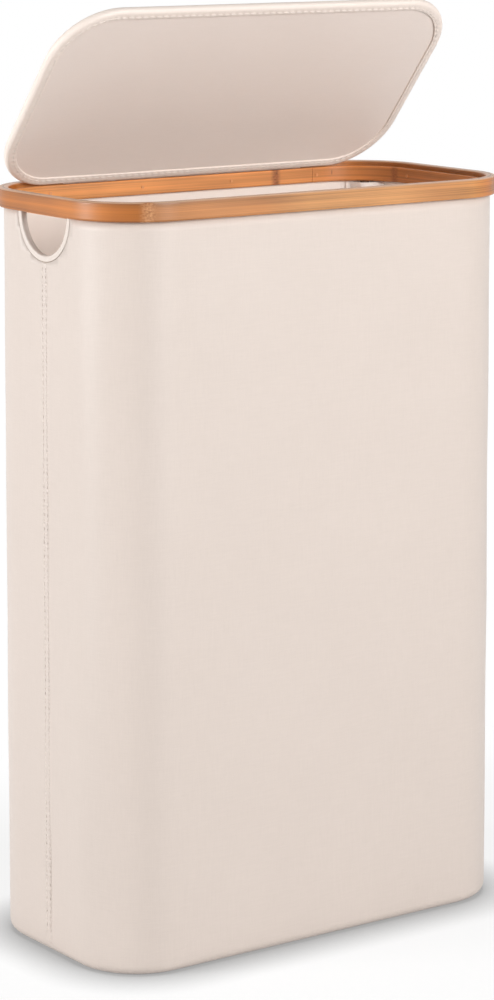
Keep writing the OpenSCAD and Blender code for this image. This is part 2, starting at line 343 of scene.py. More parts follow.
def fill_in(plate, widths, radius, core=CORE):
    """Makes rings of these widths in mm inside the selected face, whose corners have this
    radius, and a grid in the core rectangle."""
    corner_left, core_edge, round_corner, stray = 0.3 * MM, 0.5 * MM, 2.5 * MM, 0.6 * MM
    for width in widths:
        bpy.ops.mesh.inset(thickness=width * MM)
    bpy.ops.mesh.inset(thickness=radius - sum(widths) * MM - corner_left)
    faces = bmesh.from_edit_mesh(plate.data).faces
    height = next(f.verts[0].co.z for f in faces if f.select)
    bpy.ops.mesh.delete(type="ONLY_FACE")

    def inner(m):
        flat = abs(m.z - height) < HAIR
        return flat and abs(m.x) < core[0] + core_edge and abs(m.y) < core[1] + core_edge

    def long_side(m):
        return inner(m) and abs(m.y) > core[1] - 0.1 * MM and abs(m.x) < core[0]

    select(plate, "VERT", lambda m, n: inner(m))
    bpy.ops.mesh.remove_doubles(threshold=round_corner)
    select(plate, "EDGE", lambda m, d: long_side(m))
    cuts = max(1, round(2 * core[1] / COLUMN)) - 1
    bpy.ops.mesh.bridge_edge_loops(number_cuts=cuts, interpolation="LINEAR", smoothness=0)
    select(plate, "VERT", lambda m, n: inner(m))
    bpy.ops.mesh.remove_doubles(threshold=stray)
    bpy.ops.mesh.fill_holes(sides=0)


def finish(angle=40):
    """Leaves edit mode with the faces turned outwards and smooth."""
    bpy.ops.mesh.select_all(action="SELECT")
    bpy.ops.mesh.normals_make_consistent(inside=False)
    bpy.ops.object.mode_set(mode="OBJECT")
    bpy.ops.object.shade_smooth_by_angle(angle=math.radians(angle))


def thicken(piece, thickness):
    """Gives a cloth its thickness, on the inner side."""
    wrap = piece.modifiers.new("thickness", "SOLIDIFY")
    wrap.thickness, wrap.offset, wrap.use_even_offset = thickness, -1, True
    alone(piece)
    bpy.ops.object.modifier_apply(modifier=wrap.name)


def soften(piece, amount, size, seed, push=lambda p: 1.0):
    """Moves the points of a cloth in and out along their normals, as slack cloth lies.

    size is how long the waves are, and push says how free a place is, from 0 to 1.
    """
    outwards = [v.normal.copy() for v in piece.data.vertices]
    for v, outward in zip(piece.data.vertices, outwards):
        wave = noise.noise(v.co / size + Vector((seed, 0, 0)))
        v.co += outward * (amount * wave * push(v.co))


def cut_holes(piece, radius):
    """Cuts the half-round hand holes through both short sides of a wall."""
    bpy.ops.object.select_all(action="DESELECT")
    bpy.ops.mesh.primitive_cylinder_add(
        vertices=128, radius=radius, depth=4 * BODY_X,
        location=(0, 0, BODY_TOP), rotation=(0, math.pi / 2, 0),
    )
    drill = bpy.context.object
    alone(piece)
    cut = piece.modifiers.new("hand_holes", "BOOLEAN")
    cut.object, cut.operation, cut.solver = drill, "DIFFERENCE", "EXACT"
    bpy.ops.object.modifier_apply(modifier=cut.name)
    bpy.data.objects.remove(drill)


def grain(nodes, place, detail=2.0):
    """Noise round 0, from about -1 to 1."""
    clouds = nodes.add(
        "TexNoise", {"noise_dimensions": "3D"}, place, Scale=1.0, Detail=detail, Roughness=0.55
    )
    return clouds["Fac"] * 2 - 1


def stretched(nodes, place, scales):
    """place, scaled by scales: noise on it is fine where a scale is large."""
    return nodes.add("VectorMath", {"operation": "MULTIPLY"}, place, scales)


def round_walls(nodes, lay=position):
    """Cloth coordinates on the walls: how far round from the front's middle, the distance
    out from the core rectangle, and the height."""
    x, y, z = lay(nodes)
    core_x = x.math("ABSOLUTE").math("MINIMUM", CORE_X)
    core_y = y.math("MINIMUM", CORE_Y).math("MAXIMUM", -CORE_Y)
    out_x, out_y = x.math("ABSOLUTE") - core_x, y - core_y
    along_side = core_y / CORE_Y
    turned = out_y.math("ARCTAN2", out_x) + math.pi / 2
    way = turned * (BODY_X - CORE_X) - core_x * along_side
    way = way + (along_side + 1) * (CORE_X + CORE_Y)
    depth = (out_x * out_x + out_y * out_y).math("SQRT")
    return way * x.math("SIGN"), depth, z


def cloth(name, colour, thread, lay=position, slub=0.03, dye=0.02, folds=None):
    """Plain-woven cloth: crossing threads, slubs along both, and faint uneven dye.

    lay gives three coordinates: along the weft, through the cloth, and along the warp.
    folds gives the height of anything sewn into it.
    """
    made = bpy.data.materials.new(name)
    nodes = Nodes(made)
    along, through, up = lay(nodes)
    warp = ((along + through) * (math.tau / thread)).math("SINE")
    weft = ((up + through) * (math.tau / thread)).math("SINE")
    weave = warp * weft
    x, y, z = position(nodes)
    place = nodes.add("CombineXYZ", None, x, y, z)
    flat_slubs = grain(nodes, stretched(nodes, place, FLAT_SLUBS))
    tall_slubs = grain(nodes, stretched(nodes, place, TALL_SLUBS))
    uneven = grain(nodes, stretched(nodes, place, DYE_PATCHES), 3.0)
    shade = flat_slubs * slub + tall_slubs * slub + uneven * dye + weave * 0.02 + 0.5
    dark, light = (tuple(min(255, c + step) for c in colour) for step in (DARKER, LIGHTER))
    stops = [(0.0, tint(*dark)), (0.5, tint(*colour)), (1.0, tint(*light))]
    colours = nodes.add("ValToRGB", {"stops": stops}, shade)
    height = weave * 0.5 + flat_slubs * 0.6 + tall_slubs * 0.6
    if folds:
        height = height + folds(nodes)
    bump = nodes.add("Bump", None, Strength=0.35, Distance=0.12 * MM, Height=height)
    surface = nodes.add(
        "BsdfPrincipled", None, colours["Color"],
        Roughness=0.43, Normal=bump, Sheen_Weight=0.05, Specular_IOR_Level=0.5,
    )
    nodes.add("OutputMaterial", None, surface)
    return made


def cover_slack(place):
    """How free the cover is to lie uneven: not at all under the rim or at the foot."""
    return min(1, (BODY_TOP - place.z) / HELD_TOP, place.z / HELD_FOOT)


cover_cloth = cloth("cover_cloth", (212, 199, 190), 0.62 * MM, round_walls)

body_cloth = rounded_plate("body_cloth", 0, BODY_TOP)
lower(BODY_TOP - ROLL_R, rows=WALL_ROWS)
roll_in(ROLL_R, steps=6)
for _ in range(2):
    bpy.ops.mesh.inset(thickness=TURN_UNDER / 2)
bpy.ops.mesh.delete(type="FACE")
select(body_cloth, "FACE", lambda m, n: m.z > BODY_TOP - HAIR)
bpy.ops.mesh.delete(type="FACE")
finish()
soften(body_cloth, 0.45 * MM, size=0.11, seed=3, push=cover_slack)
thicken(body_cloth, COVER_T)
cut_holes(body_cloth, HOLE_R)
body_cloth.data.materials.append(cover_cloth)
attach(body_cloth, "hamper")
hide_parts("body_cover_front", "body_cover_back")


# ---- Bottom panel ----
# The same cloth under the bottom board, which the hamper stands on. It is sewn to the
# turned-under edge of the walls.
panel_depth = ROLL_R + TURN_UNDER
bottom_panel = rounded_plate("bottom_panel", panel_depth, 0)
fill_in(bottom_panel, [6] * 6, BODY_X - CORE_X - panel_depth)
finish()
thicken(bottom_panel, COVER_T)
bottom_panel.data.materials.append(cover_cloth)
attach(bottom_panel, "hamper")
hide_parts("body_bottom_panel")


# ---- Side seams ----
# The front and the back length of the cloth meet on each short side in a felled seam, sewn
# down with two rows of thread. It runs from under the hand hole to the roll at the foot.
seam_low, seam_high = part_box("side_seam_left")
seam_y = (seam_low.y + seam_high.y) / 2
SEAM_TOP = BODY_TOP - HOLE_R - 0.5 * MM
SEAM_W, SEAM_T = 9 * MM, 0.45 * MM
SEAM_ROUND, SEAM_CLOTH_T = 2.6 * MM, 0.5 * MM
ROW_IN = 1.8 * MM
STITCH, THREAD = 4 * MM, 0.6 * MM
THREAD_TONES = [(0.0, (214, 199, 188)), (0.5, (240, 229, 221)), (1.0, (250, 243, 238))]
TWIST = 0.5 * MM
PUCKER, PUCKER_W, PUCKER_DEPTH = 6 * MM, 1.5 * MM, 0.5 * MM
SLACK = 0.15 * MM


def strip(name, columns, rows, place, thickness):
    """A strip of cloth: a grid whose point at (u, v), each from 0 to 1, goes to place(u, v)."""
    bpy.ops.object.select_all(action="DESELECT")
    bpy.ops.mesh.primitive_grid_add(x_subdivisions=columns, y_subdivisions=rows, size=2)
    piece = bpy.context.object
    piece.name = piece.data.name = name
    for v in piece.data.vertices:
        v.co = place((v.co.x + 1) / 2, (v.co.y + 1) / 2)
    bpy.ops.object.mode_set(mode="EDIT")
    finish()
    thicken(piece, thickness)
    return piece


def stitch_row(name, count, step, start, turn=(0, 0, 0), pitch=STITCH):
    """A straight row of stitches, each a short raised thread, from start on."""
    bpy.ops.object.select_all(action="DESELECT")
    bpy.ops.mesh.primitive_uv_sphere_add(segments=8, ring_count=6, radius=0.5)
    row = bpy.context.object
    row.name = row.data.name = name
    row.scale = (THREAD, THREAD, 0.8 * pitch)
    row.rotation_euler = turn
    bpy.ops.object.transform_apply(location=False, rotation=True, scale=True)
    repeat = row.modifiers.new("row", "ARRAY")
    repeat.use_relative_offset, repeat.use_constant_offset = False, True
    repeat.constant_offset_displace, repeat.count = step, count
    bpy.ops.object.modifier_apply(modifier=repeat.name)
    row.location = start
    bpy.ops.object.transform_apply(location=True, rotation=False, scale=False)
    bpy.ops.object.shade_smooth()
    return row


def join(name, pieces):
    """One piece out of several."""
    bpy.ops.object.select_all(action="DESELECT")
    for piece in pieces:
        piece.select_set(True)
    bpy.context.view_layer.objects.active = pieces[0]
    bpy.ops.object.join()
    pieces[0].name = pieces[0].data.name = name
    return pieces[0]


def thread_paint():
    """Twisted sewing thread, a shade paler than the cloth."""
    made = bpy.data.materials.new("thread")
    nodes = Nodes(made)
    x, y, z = position(nodes)
    twist = ((x + y + z) * (math.tau / TWIST)).math("SINE")
    bump = nodes.add("Bump", None, Strength=0.5, Distance=0.05 * MM, Height=twist)
    uneven = grain(nodes, stretched(nodes, nodes.add("TexCoord")["Object"], (300, 300, 300)))
    stops = [(at, tint(*colour)) for at, colour in THREAD_TONES]
    colours = nodes.add("ValToRGB", {"stops": stops}, uneven * 0.3 + 0.5)
    surface = nodes.add("BsdfPrincipled", None, colours["Color"], Roughness=0.6, Normal=bump)
    nodes.add("OutputMaterial", None, surface)
    return made


thread = thread_paint()


def seam_place(side):
    """Where the felled seam's points lie: a low pillow, drawn in along its rows of thread."""
    def place(u, v):
        across = (u - 0.5) * SEAM_W
        z = seam_low.z + v * (SEAM_TOP - seam_low.z)
        edge = min(1, min(u, 1 - u) * SEAM_W / SEAM_ROUND)
        rise = SEAM_T * (0.5 - 0.5 * math.cos(edge * math.pi))
        beside = abs(abs(across) - (SEAM_W / 2 - ROW_IN)) / PUCKER_W
        gather = noise.noise(Vector((0, z * 40, side)))
        pull = max(0, 1 - beside ** 2) * (0.5 + 0.5 * math.cos(math.tau * z / PUCKER + gather))
        slack = SLACK * noise.noise(Vector((across * 200, z * 60, side)))
        out = BODY_X + rise - PUCKER_DEPTH * pull + slack * edge
        return Vector((side * out, seam_y + across, z))
    return place


for side, label in ((-1, "left"), (1, "right")):
    seam = strip(f"seam_{label}", 16, 580, seam_place(side), SEAM_CLOTH_T)
    seam.data.materials.append(cover_cloth)
    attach(seam, "hamper")
    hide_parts(f"side_seam_{label}")
    count = int((SEAM_TOP - seam_low.z) / STITCH) - 2
    rows = []
    for row in (-1, 1):
        row_y = seam_y + row * (SEAM_W / 2 - ROW_IN)
        start = (side * (BODY_X + 0.3 * MM), row_y, SEAM_TOP - STITCH)
        rows.append(stitch_row(f"row_{row}", count, (0, 0, -STITCH), start))
    stitches = join(f"seam_{label}_stitches", rows)
    stitches.data.materials.append(thread)
    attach(stitches, "hamper")


# ---- Hand hole bindings ----
# Tape folded round the raw edge of each hand hole, from the cover to the lining. A fine
# groove is left between the tape and the cover's cut edge.
BINDING_W = 5.5 * MM
GRIP_R = HOLE_R - BINDING_W
BINDING_T = 0.7 * MM

# The folded tape's section in mm: how deep in from the cover's face, how far out of the grip.
BINDING_SECTION = (
    (0.8, 5.0), (0.0, 5.0), (-0.25, 4.6), (-0.3, 3.9), (-0.1, 3.4), (-0.4, 2.6), (-0.4, 1.4),
    (-0.2, 0.6), (0.3, 0.1), (1.0, -0.1), (2.8, -0.2), (4.5, -0.1), (5.2, 0.2), (5.6, 0.8),
    (5.7, 2.5), (5.6, 5.6), (5.3, 6.4), (4.85, 6.4), (4.85, 0.7), (0.8, 0.7),
)


def binding(side, label):
    """Draws the tape's C section beside the hole and spins it half a turn round the hole."""
    bpy.ops.object.select_all(action="DESELECT")
    places = [
        Vector((side * (BODY_X - depth * MM), -GRIP_R - out * MM, BODY_TOP))
        for depth, out in BINDING_SECTION
    ]
    bpy.ops.mesh.primitive_plane_add(size=MM, location=places[0])
    tape = bpy.context.object
    tape.name = tape.data.name = f"binding_{label}"
    bpy.ops.object.transform_apply(location=True, rotation=False, scale=False)
    bpy.ops.object.mode_set(mode="EDIT")
    bpy.ops.mesh.select_mode(type="VERT")
    bpy.ops.mesh.select_all(action="SELECT")
    bpy.ops.mesh.merge(type="CENTER")
    for here, there in zip(places, places[1:]):
        bpy.ops.mesh.extrude_region_move(TRANSFORM_OT_translate={"value": there - here})
    bpy.ops.mesh.select_all(action="SELECT")
    bpy.ops.mesh.edge_face_add()
    bpy.ops.mesh.spin(steps=64, angle=-math.pi, center=(side * BODY_X, 0, BODY_TOP), axis=(1, 0, 0))
    finish(angle=60)
    return tape


binding_tape = cloth("binding_tape", (222, 210, 201), 0.5 * MM, slub=0.015)

for side, label in ((-1, "left"), (1, "right")):
    tape = binding(side, label)
    tape.data.materials.append(binding_tape)
    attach(tape, "hamper")
    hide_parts(f"hole_binding_{label}")


# ---- Lining ----
# The inner cloth hangs flat against the boards. Its hem is clamped between the rim and the
# strip inside it, and a separate panel covers the bottom.
lining_low, lining_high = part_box("body_lining")
LINING_T = 0.8 * MM
LINING_DEPTH = BODY_X - lining_high.x
WALL_T = 4.8 * MM
CLAMPED_FROM, CLAMP_BELOW, CLAMP_HOLDS = 0.62, 12 * MM, 0.08
lining_cloth = cloth(
    "lining_cloth", (255, 243, 234), 0.62 * MM, round_walls, slub=0.015, dye=0.015
)


def lining_slack(place):
    """How free the lining is to lie uneven: not at all in the clamp or along the floor."""
    if place.z >= CLAMPED_FROM:
        return 0
    return min(1, (BODY_TOP - CLAMP_BELOW - place.z) / CLAMP_HOLDS, place.z / HELD_FOOT)


lining = rounded_plate("lining", LINING_DEPTH, lining_high.z)
lower(lining_high.z - lining_low.z, rows=WALL_ROWS)
bpy.ops.mesh.delete(type="FACE")
select(lining, "FACE", lambda m, n: m.z > lining_high.z - HAIR)
bpy.ops.mesh.delete(type="FACE")
finish()
soften(lining, -0.7 * MM, size=0.09, seed=21, push=lining_slack)
thicken(lining, LINING_T)
cut_holes(lining, GRIP_R + BINDING_T)
lining.data.materials.append(lining_cloth)
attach(lining, "hamper")
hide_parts("body_lining")

lining_floor = rounded_plate("lining_floor", WALL_T, lining_low.z)
fill_in(lining_floor, [7] * 7, BODY_X - CORE_X - WALL_T)
finish()
thicken(lining_floor, LINING_T)
lining_floor.data.materials.append(lining_cloth)
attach(lining_floor, "hamper")
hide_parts("lining_bottom")


# ---- Rod sleeves ----
# A strip of lining cloth is sewn down each inside corner. The rod draws it into a rounded
# ridge, and the slack beside the ridge hangs in upright wrinkles.
sleeve_low, sleeve_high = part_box("rod_sleeve_back_right")
SLEEVE_TURN = math.radians(19)
SLEEVE_ROD_R = 46.6 * MM
SLEEVE_FLAT_R = BODY_X - CORE_X - WALL_T
SLEEVE_IN = 0.4 * MM
RIDGE_SHARE = 0.82
WRINKLE = 1.5 * MM


def sleeve_place(side_x, side_y, seed):
    """Where a sleeve's points lie, u across the corner and v up it."""
    def place(u, v):
        z = sleeve_low.z + v * (sleeve_high.z - sleeve_low.z)
        off = 2 * u - 1
        ridge = max(0, 1 - (abs(off) / RIDGE_SHARE) ** 2) ** 1.6
        wrinkle = noise.noise(Vector((off * 3.1, z * 9, seed)))
        wrinkle += 0.6 * noise.noise(Vector((off * 7, z * 22, seed + 4)))
        edge = min(1, (1 - abs(off)) / 0.3)
        r = SLEEVE_FLAT_R - SLEEVE_IN - (SLEEVE_FLAT_R - SLEEVE_ROD_R) * ridge
        r -= WRINKLE * wrinkle * edge * (1 - ridge) * min(1, v * 12, (1 - v) * 12)
        turn = math.pi / 4 + off * SLEEVE_TURN
        out_x, out_y = CORE_X + r * math.cos(turn), CORE_Y + r * math.sin(turn)
        return Vector((side_x * out_x, side_y * out_y, z))
    return place


CORNERS = {
    "front_left": (-1, -1), "front_right": (1, -1), "back_left": (-1, 1), "back_right": (1, 1)
}
for seed, (label, sides) in enumerate(CORNERS.items()):
    sleeve = strip(f"sleeve_{label}", 36, 150, sleeve_place(*sides, 10 * seed), LINING_T)
    sleeve.data.materials.append(lining_cloth)
    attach(sleeve, "hamper")
    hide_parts(f"rod_sleeve_{label}")


# ---- Bamboo rim ----
# Two plies of split bamboo bent round the mouth, with a thinner strip inside them. The
# fibres run along the band, and here and there a knot of the cane crosses it.
_, rim_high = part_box("rim_outer_ply")
RIM_LENGTH = 440
# Painted shade: a dark line on the rim's top, in the joint between the two plies.
PLY_JOINT_OUT, PLY_JOINT_W = rim_high.x - CORE_X - 4.5 * MM, 0.9 * MM
CUT_FROM, CUT_TO = 1.2 * MM, 0.2 * MM
CRACK_W, CRACK_H = 0.8 * MM, 3 * MM
JOINT_SHADE_COLOUR, CRACK_COLOUR = (112, 72, 44), (124, 70, 38)
RIM_CUT, INNER_CUT = (226, 188, 158), (222, 178, 140)
# Colours along the rim, by x in mm: partly the cane's own tone, and partly painted shade that
# darkens the band round the front-left corner.
RIM_TONES_AND_SHADE = [
    (-218, (174, 102, 32)), (-212, (170, 99, 30)), (-204, (156, 89, 26)), (-184, (154, 88, 24)),
    (-180, (160, 102, 50)), (-115, (172, 113, 62)), (-68, (180, 118, 64)), (-20, (196, 138, 82)),
    (74, (197, 139, 84)), (120, (193, 131, 75)), (160, (201, 137, 76)), (180, (188, 114, 48)),
    (196, (158, 92, 32)),
]
INNER_TONES = [(-220, (216, 143, 78)), (110, (212, 138, 76)), (190, (200, 122, 60))]
PALE_KNOT = (9, (140, 82, 36), (206, 148, 98))
DARK_KNOT = (7, (104, 52, 22), (178, 104, 56))


def blend_colour(nodes, amount, below, above):
    """The colour above over the one below, as far as amount goes."""
    return nodes.add("Mix", {"data_type": "RGBA", "blend_type": "MIX"}, amount, below, above)


def bamboo(name, tones, cut_edge, seed, knots, marks=()):
    """Split bamboo. Places are in mm. tones are places along x and the colour there.

    knots are x, y, half width and the darkest and palest colour in them. marks are thin
    cracks: x, the side of y, and the height.
    """
    made = bpy.data.materials.new(name)
    nodes = Nodes(made)
    x, y, z = position(nodes)
    out = from_core(x, y)
    fibre_place = nodes.add("CombineXYZ", None, x * 5 + seed, y * 5, (z + out) * 1700)
    streak_place = nodes.add("CombineXYZ", None, x * 3 + seed, y * 3, (z + out) * 330)
    fibres, streaks = grain(nodes, fibre_place, 3.0), grain(nodes, streak_place)
    patches = grain(nodes, nodes.add("CombineXYZ", None, x * 14 + seed, y * 14, z * 30), 1.0)
    shade = fibres * 0.45 + streaks * 0.65 + patches * 0.4
    stops = [(at / RIM_LENGTH + 0.5, tint(*colour)) for at, colour in tones]
    along = nodes.add("ValToRGB", {"stops": stops}, x / (RIM_LENGTH * MM) + 0.5)
    colour = nodes.add("VectorMath", {"operation": "SCALE"}, along["Color"], Scale=shade * 0.9 + 1)
    on_top = nodes.add(
        "MapRange", None, z, rim_high.z - CUT_FROM, rim_high.z - CUT_TO, 0.0, 0.85
    )
    colour = blend_colour(nodes, on_top * (fibres * 0.15 + 0.85), colour, (*tint(*cut_edge), 1))
    # Painted shade in the joint between the plies, along the top.
    joint_shade = (1 - (out - PLY_JOINT_OUT).math("ABSOLUTE") / PLY_JOINT_W).math("MAXIMUM", 0)
    colour = blend_colour(nodes, joint_shade * on_top * 0.8, colour, (*tint(*JOINT_SHADE_COLOUR), 1))
    speckle = grain(nodes, nodes.add("CombineXYZ", None, x * 420 + seed, y * 420, z * 700), 1.0)
    for at_x, at_y, width, darkest, palest in knots:
        off_x, off_y = x - at_x * MM, y - at_y * MM
        off = (off_x * off_x + off_y * off_y).math("SQRT")
        near = nodes.add(
            "MapRange", {"interpolation_type": "SMOOTHSTEP"}, off, width * MM, width * 0.1 * MM
        )
        stops = [(0.15, tint(*darkest)), (0.85, tint(*palest))]
        flecks = nodes.add("ValToRGB", {"stops": stops}, speckle * 0.7 + 0.5)
        colour = blend_colour(nodes, near * 0.9, colour, flecks["Color"])
    for at, on_side, height in marks:
        off_x, off_z = (x - at * MM) / CRACK_W, (z - height * MM) / CRACK_H
        spot = (1 - (off_x * off_x + off_z * off_z)).math("MAXIMUM", 0)
        spot = spot * (y * on_side).math("GREATER_THAN", 0)
        colour = blend_colour(nodes, spot * 0.8, colour, (*tint(*CRACK_COLOUR), 1))
    height = fibres * 0.6 + streaks * 0.4
    bump = nodes.add("Bump", None, Strength=0.25, Distance=0.1 * MM, Height=height)
    surface = nodes.add(
        "BsdfPrincipled", None, colour,
        Roughness=streaks * 0.05 + 0.45, Normal=bump, Coat_Weight=0.2, Coat_Roughness=0.25,
    )
    nodes.add("OutputMaterial", None, surface)
    return made


def paint_nodes(material, *names):
    """Gives CAD nodes, whose shape is already right, their material."""
    for name in names:
        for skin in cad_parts[name].material_slots:
            skin.material = material


outer_knots = [(-181, -107, *PALE_KNOT), (60, 113, *PALE_KNOT)]
second_knots = [(-40, 104, *PALE_KNOT)]
strip_knots = [(99, 99, *DARK_KNOT), (202, 56, *DARK_KNOT), (-60, -99, *DARK_KNOT)]
paint_nodes(bamboo("bamboo_outer", RIM_TONES_AND_SHADE, RIM_CUT, 2.0, outer_knots), "rim_outer_ply")
paint_nodes(bamboo("bamboo_second", RIM_TONES_AND_SHADE, RIM_CUT, 7.0, second_knots), "rim_inner_ply")
paint_nodes(
    bamboo("bamboo_inner", INNER_TONES, INNER_CUT, 13.0, strip_knots, marks=[(163, 1, 648)]),
    "rim_ledge_strip",
)


# ---- Rods, caps, brads and boards ----
# Rods of bright drawn steel with brown rubber caps stand in the sleeves and hold the rim up.
# Small bronzed brads pin the strip to the rim. Pressed board stiffens the walls, the bottom,
# the base board and the lid.
def plain(name, colour, roughness, metallic=0.0, fleck=6, size=400, lift=0.02):
    """A plain material with a faint mottle of its own colour, whose grain lifts it in mm."""
    made = bpy.data.materials.new(name)
    nodes = Nodes(made)
    place = nodes.add("TexCoord")["Object"]
    mottle = grain(nodes, stretched(nodes, place, (size, size, size)), 4.0)
    dark, light = (tuple(c + step for c in colour) for step in (-fleck, fleck))
    stops = [(0.2, tint(*dark)), (0.8, tint(*light))]
    colours = nodes.add("ValToRGB", {"stops": stops}, mottle * 0.5 + 0.5)
    bump = nodes.add("Bump", None, Strength=0.3, Distance=lift * MM, Height=mottle)
    surface = nodes.add(
        "BsdfPrincipled", None, colours["Color"],
        Metallic=metallic, Roughness=mottle * 0.06 + roughness, Normal=bump,
    )
    nodes.add("OutputMaterial", None, surface)
    return made


steel = plain("steel", (196, 198, 200), 0.32, metallic=1.0, fleck=8)
paint_nodes(steel, *(f"corner_rod_{corner}" for corner in CORNERS))
paint_nodes(plain("bronzed_steel", (214, 145, 90), 0.45, metallic=0.1, fleck=8), "rim_brads")
paint_nodes(plain("cap_rubber", (92, 74, 62), 0.62), "rod_end_caps")
paint_nodes(
    plain("stiffener_board", (158, 140, 118), 0.85, fleck=22, size=900, lift=0.08),
    "wall_stiffener_front", "wall_stiffener_back", "wall_stiffener_left", "wall_stiffener_right",
    "bottom_stiffener", "base_board", "lid_board",
)


# ---- Base board ----
# The loose board that lies in the bottom and spreads the load. It is in a fitted cover of
# lining cloth, closed by a row of stitches near the edge.
base_low, base_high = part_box("base_board_cover")
BASE_RADIUS, BASE_EDGE = 76.7 * MM, 1.6 * MM
BASE_STITCH_IN, OVER_CLOTH = 5 * MM, 0.25 * MM
BASE_CORE = (base_high.x - BASE_RADIUS, base_high.y - BASE_RADIUS)


def stitch_ring(name, depth, z, core, radius, pitch):
    """Stitches all round a rounded plate's outline, depth in from its edge, at height z."""
    guide = rounded_plate("guide", depth, z, core, radius)
    bpy.ops.mesh.delete(type="ONLY_FACE")
    bpy.ops.object.mode_set(mode="OBJECT")
    bpy.ops.object.convert(target="CURVE")
    guide = bpy.context.object
    ring = stitch_row(name, 1, (0, 0, 0), (0, 0, 0), turn=(0, math.pi / 2, 0), pitch=pitch)
    row = ring.modifiers.new("row", "ARRAY")
    row.use_relative_offset, row.use_constant_offset = False, True
    row.constant_offset_displace, row.fit_type, row.curve = (pitch, 0, 0), "FIT_CURVE", guide
    follow = ring.modifiers.new("follow", "CURVE")
    follow.object, follow.deform_axis = guide, "POS_X"
    alone(ring)
    bpy.ops.object.modifier_apply(modifier=row.name)
    bpy.ops.object.modifier_apply(modifier=follow.name)
    bpy.data.objects.remove(guide)
    return ring


def crown(piece, top, rise, reach, core, radius):
    """Lifts a plate's upper face into a low cushion, at full height from reach inwards."""
    for v in piece.data.vertices:
        if v.co.z > top - 0.3 * MM:
            out_x, out_y = max(0, abs(v.co.x) - core[0]), max(0, abs(v.co.y) - core[1])
            inset = radius - math.hypot(out_x, out_y)
            if not (out_x or out_y):
                inset = radius + min(core[0] - abs(v.co.x), core[1] - abs(v.co.y))
            part = min(1, max(0, inset) / reach)
            v.co.z += rise * part * part * (3 - 2 * part)


base_pad = rounded_plate("base_pad", 0, base_high.z, BASE_CORE, BASE_RADIUS)
lower(base_high.z - base_low.z)
select(base_pad, "EDGE", lambda m, d: abs(d.z) < HAIR)
bpy.ops.mesh.bevel(offset=BASE_EDGE, segments=4, affect="EDGES", clamp_overlap=False)
select(base_pad, "FACE", lambda m, n: n.z > 0.999 and m.z > base_high.z - HAIR)
fill_in(base_pad, [3, 4] + [8] * 8, BASE_RADIUS - BASE_EDGE, BASE_CORE)
finish()
crown(base_pad, base_high.z, rise=0.9 * MM, reach=14 * MM, core=BASE_CORE, radius=BASE_RADIUS)
soften(base_pad, 0.35 * MM, size=0.05, seed=9, push=lambda p: 1 if p.z > base_high.z else 0)
base_pad.data.materials.append(lining_cloth)
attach(base_pad, "base_board_body")
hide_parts("base_board_cover")
base_stitches = stitch_ring(
    "base_stitches", BASE_STITCH_IN, base_high.z + OVER_CLOTH, BASE_CORE, BASE_RADIUS, STITCH
)
base_stitches.data.materials.append(thread)
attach(base_stitches, "base_board_body")


# ---- Lid ----
# A stiff board with thin wadding, wrapped in the cover's cloth. The cloth is folded under
# as a border, and a cloth-covered panel closes the underside inside it. Both wear the cover's
# cloth painted paler, as painted light against the shade under the open lid. It is modelled
# shut, lying on the strip, and then opened on its hinge line.
LID_X, LID_RADIUS, LID_EDGE = 209.8 * MM, 55.8 * MM, 3.7 * MM
LID_LOW, LID_HIGH = 653.8 * MM, 661.8 * MM
LID_BORDER = 10 * MM
GROOVE_IN, GROOVE_R, GROOVE_STEPS, GROOVE_DEPTH = 1.3 * MM, 0.9 * MM, 4, 1.6 * MM
PANEL_UP, PANEL_UNDER, PANEL_T = 1.8 * MM, 3 * MM, 0.6 * MM
LID_STITCH, STITCH_IN, UNDER_CLOTH = 7 * MM, 6.8 * MM, 0.15 * MM
LID_PUCKER, LID_PUCKER_W = 6, 2.6 * MM
HINGE_Y, HINGE_Z = 99.2 * MM, 659.9 * MM
OPEN = math.radians(50)
to_open = (
    Matrix.Translation((0, HINGE_Y, HINGE_Z))
    @ Matrix.Rotation(-OPEN, 4, "X")
    @ Matrix.Translation((0, -HINGE_Y, -HINGE_Z))
)


def on_lid(nodes):
    """The place on the lid as it is when the lid is shut: along x, up, and along y."""
    x, y, z = position(nodes)
    y, z = y - HINGE_Y, z - HINGE_Z
    up = y * math.sin(OPEN) + z * math.cos(OPEN)
    return x, up, y * math.cos(OPEN) - z * math.sin(OPEN) + HINGE_Y


def lid_puckers(nodes):
    """The border drawn in between the stitches of the row that holds it down."""
    def flat(nodes):
        x, up, y = on_lid(nodes)
        return x, y, up

    way, out, _ = round_walls(nodes, flat)
    aside = (out - (LID_RADIUS - STITCH_IN)).math("ABSOLUTE")
    beside = (1 - aside / LID_PUCKER_W).math("MAXIMUM", 0)
    return beside * (way * (math.tau / LID_STITCH)).math("COSINE") * LID_PUCKER


def open_out(piece):
    """Turns a piece of the shut lid to where it is when the lid stands open."""
    piece.data.transform(to_open)


# Painted light: the lid's cloth and its panel's are the cover's cloth painted paler, to make up for
# the shade that falls under the open lid.
lightened_lid_cloth = cloth("lightened_lid_cloth", (238, 224, 214), 0.62 * MM, on_lid, folds=lid_puckers)
lid_panel_cloth = cloth("lid_panel_cloth", (236, 222, 213), 0.55 * MM, on_lid, slub=0.02)

